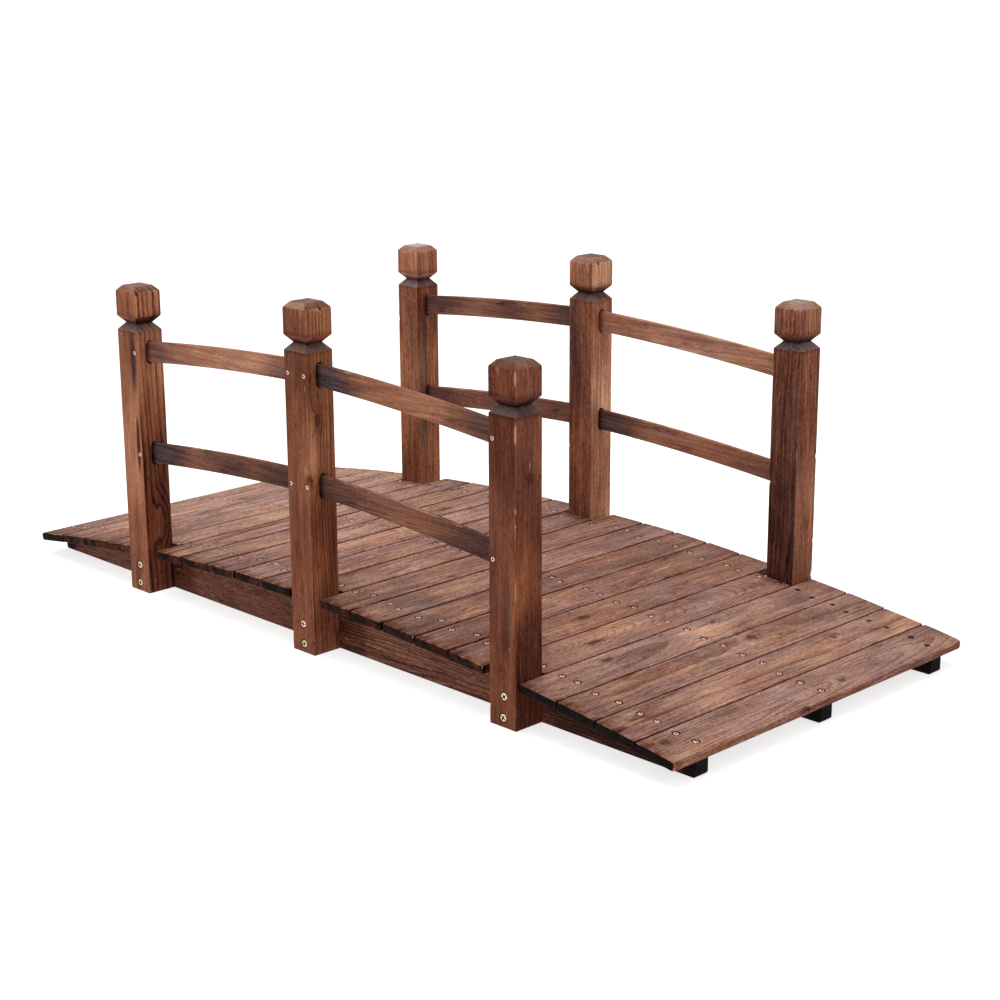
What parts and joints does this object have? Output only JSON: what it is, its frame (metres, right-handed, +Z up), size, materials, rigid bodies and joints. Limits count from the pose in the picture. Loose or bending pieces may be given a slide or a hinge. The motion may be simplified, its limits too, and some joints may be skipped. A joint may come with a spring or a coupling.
{
  "type": "footbridge",
  "caption": "Arched wooden garden footbridge: plank deck on curved beams, with square posts, chamfered heads and thin curved rails along both sides.",
  "frame": {"origin": "on the ground under the middle of the deck", "axes": "+X along the bridge towards its right-hand end seen from the front, +Y across it towards the back railing, +Z up"},
  "size_m": [1.4998, 0.672, 0.547],
  "materials": {
    "beam_wood": "charred and stained dark brown, dry matt",
    "deck_wood": "charred and stained brown, brushed, worn paler on the arrises",
    "post_wood": "charred and stained dark brown, satin",
    "rail_wood": "charred and stained dark brown, worn pale along the top arris",
    "screw_metal": "yellow zinc-plated steel, dull"
  },
  "bodies": {
    "root": {"back_beam": "beam_wood", "front_beam": "beam_wood", "middle_beam": "beam_wood", "plank_01": "deck_wood", "plank_02": "deck_wood", "plank_03": "deck_wood", "plank_04": "deck_wood", "plank_05": "deck_wood", "plank_06": "deck_wood", "plank_07": "deck_wood", "plank_08": "deck_wood", "plank_09": "deck_wood", "plank_10": "deck_wood", "plank_11": "deck_wood", "plank_12": "deck_wood", "plank_13": "deck_wood", "plank_14": "deck_wood", "plank_15": "deck_wood", "plank_16": "deck_wood", "plank_17": "deck_wood", "plank_18": "deck_wood", "plank_19": "deck_wood", "plank_20": "deck_wood", "plank_21": "deck_wood", "post_back_left": "post_wood", "post_back_middle": "post_wood", "post_back_right": "post_wood", "post_front_left": "post_wood", "post_front_middle": "post_wood", "post_front_right": "post_wood", "rail_back_left_lower": "rail_wood", "rail_back_left_upper": "rail_wood", "rail_back_right_lower": "rail_wood", "rail_back_right_upper": "rail_wood", "rail_front_left_lower": "rail_wood", "rail_front_left_upper": "rail_wood", "rail_front_right_lower": "rail_wood", "rail_front_right_upper": "rail_wood"}
  },
  "joints": []
}
